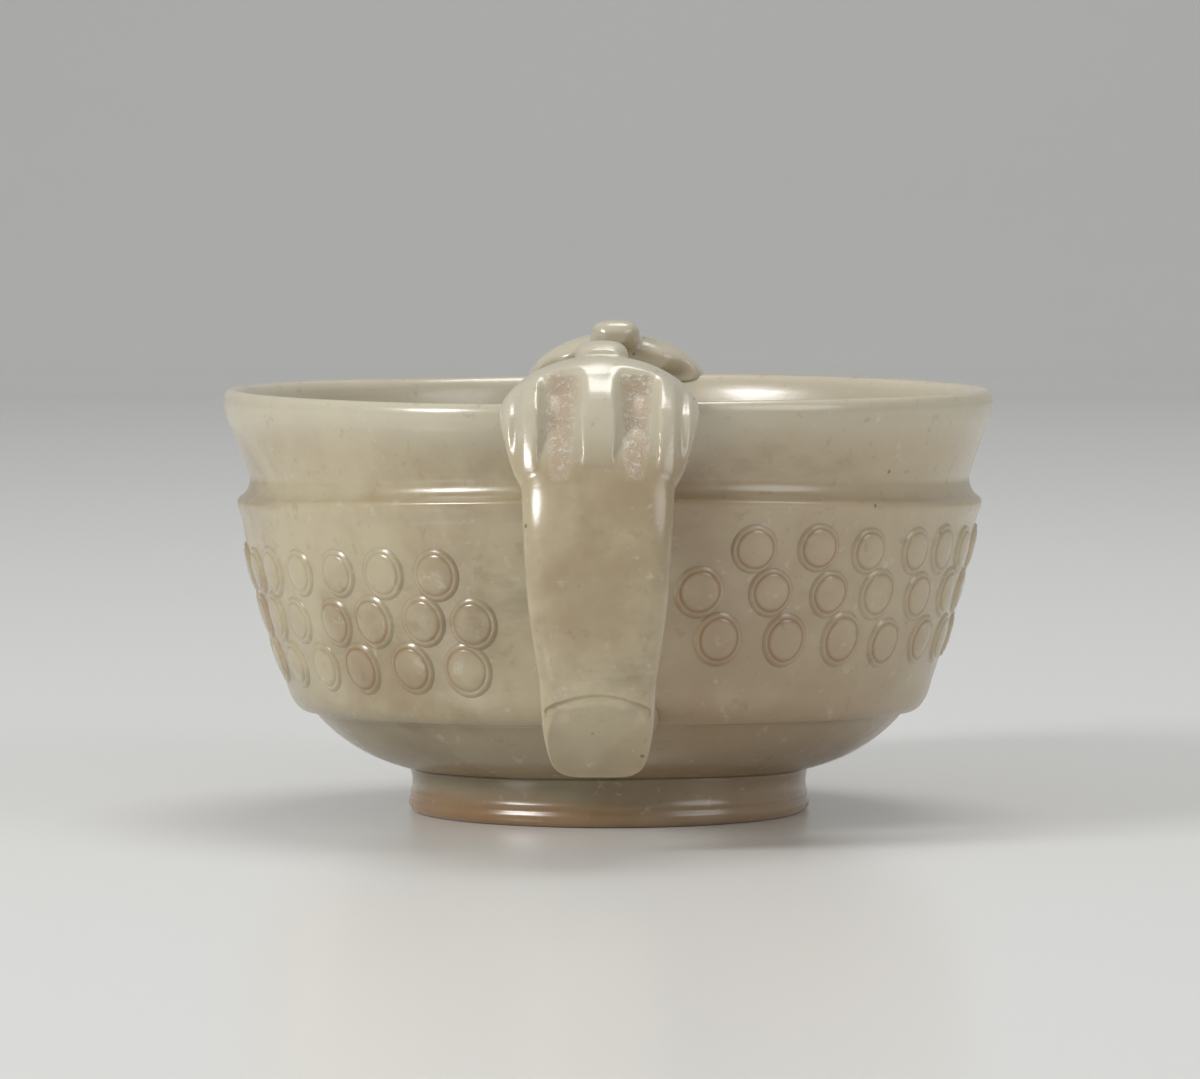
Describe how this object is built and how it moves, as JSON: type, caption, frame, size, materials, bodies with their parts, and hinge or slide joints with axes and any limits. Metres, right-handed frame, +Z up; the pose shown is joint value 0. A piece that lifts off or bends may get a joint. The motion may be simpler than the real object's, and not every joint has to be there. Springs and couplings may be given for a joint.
{
  "type": "two-handled cup",
  "caption": "Small carved jade cup with a flared neck, rows of low round bosses, a foot ring and two loop handles with animal heads.",
  "frame": {"origin": "centre of the foot ring's underside", "axes": "+Z up; the handles lie on the Y axis, with the front handle at -Y and the rear handle at +Y"},
  "size_m": [0.088, 0.1182, 0.0551],
  "materials": {
    "bowl_stone": "waxy polished nephrite, pale celadon grey with beige and olive clouds",
    "foot_stone": "waxy polished nephrite, stained amber brown at its base",
    "handle_stone": "waxy polished nephrite with rough ground grooves in the heads"
  },
  "bodies": {
    "root": {"bowl": "bowl_stone", "foot_ring": "foot_stone", "front_handle": "handle_stone", "rear_handle": "handle_stone"}
  },
  "joints": []
}
